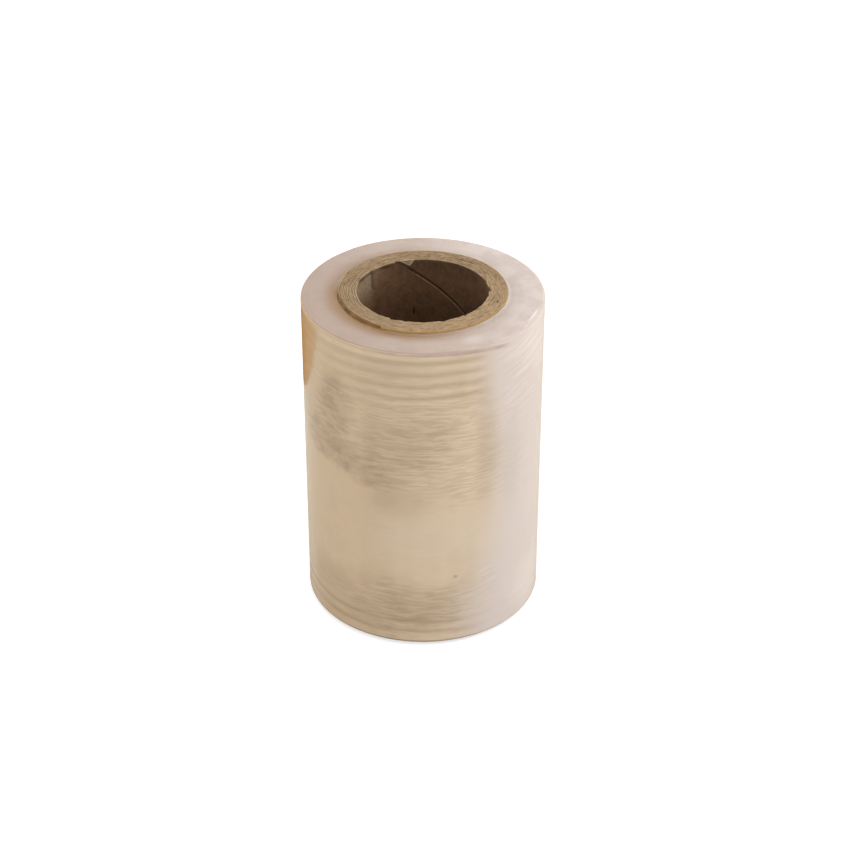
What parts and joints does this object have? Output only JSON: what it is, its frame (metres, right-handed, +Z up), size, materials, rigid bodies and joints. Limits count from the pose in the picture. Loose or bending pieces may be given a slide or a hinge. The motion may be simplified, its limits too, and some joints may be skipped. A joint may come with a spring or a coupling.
{
  "type": "stretch wrap roll",
  "caption": "Small roll of clear stretch film wound on a spiral-wound paper core, open through the middle for a handle or a spindle.",
  "frame": {"origin": "on the axis of the roll, at the lower end of the core on which the roll stands", "axes": "+Z up along the axis of the core; the torn tip of the inner ply lies at about 105 degrees from +X towards +Y, and the free end of the film at 128 degrees"},
  "size_m": [0.0709, 0.071, 0.102],
  "materials": {
    "core_board": "bare grey-brown board, matt, with cut plies showing on the ends",
    "clear_film": "clear glossy film, milky and cream where many turns lie together"
  },
  "bodies": {
    "root": {"core_tube": "core_board", "film_roll": "clear_film"}
  },
  "joints": []
}
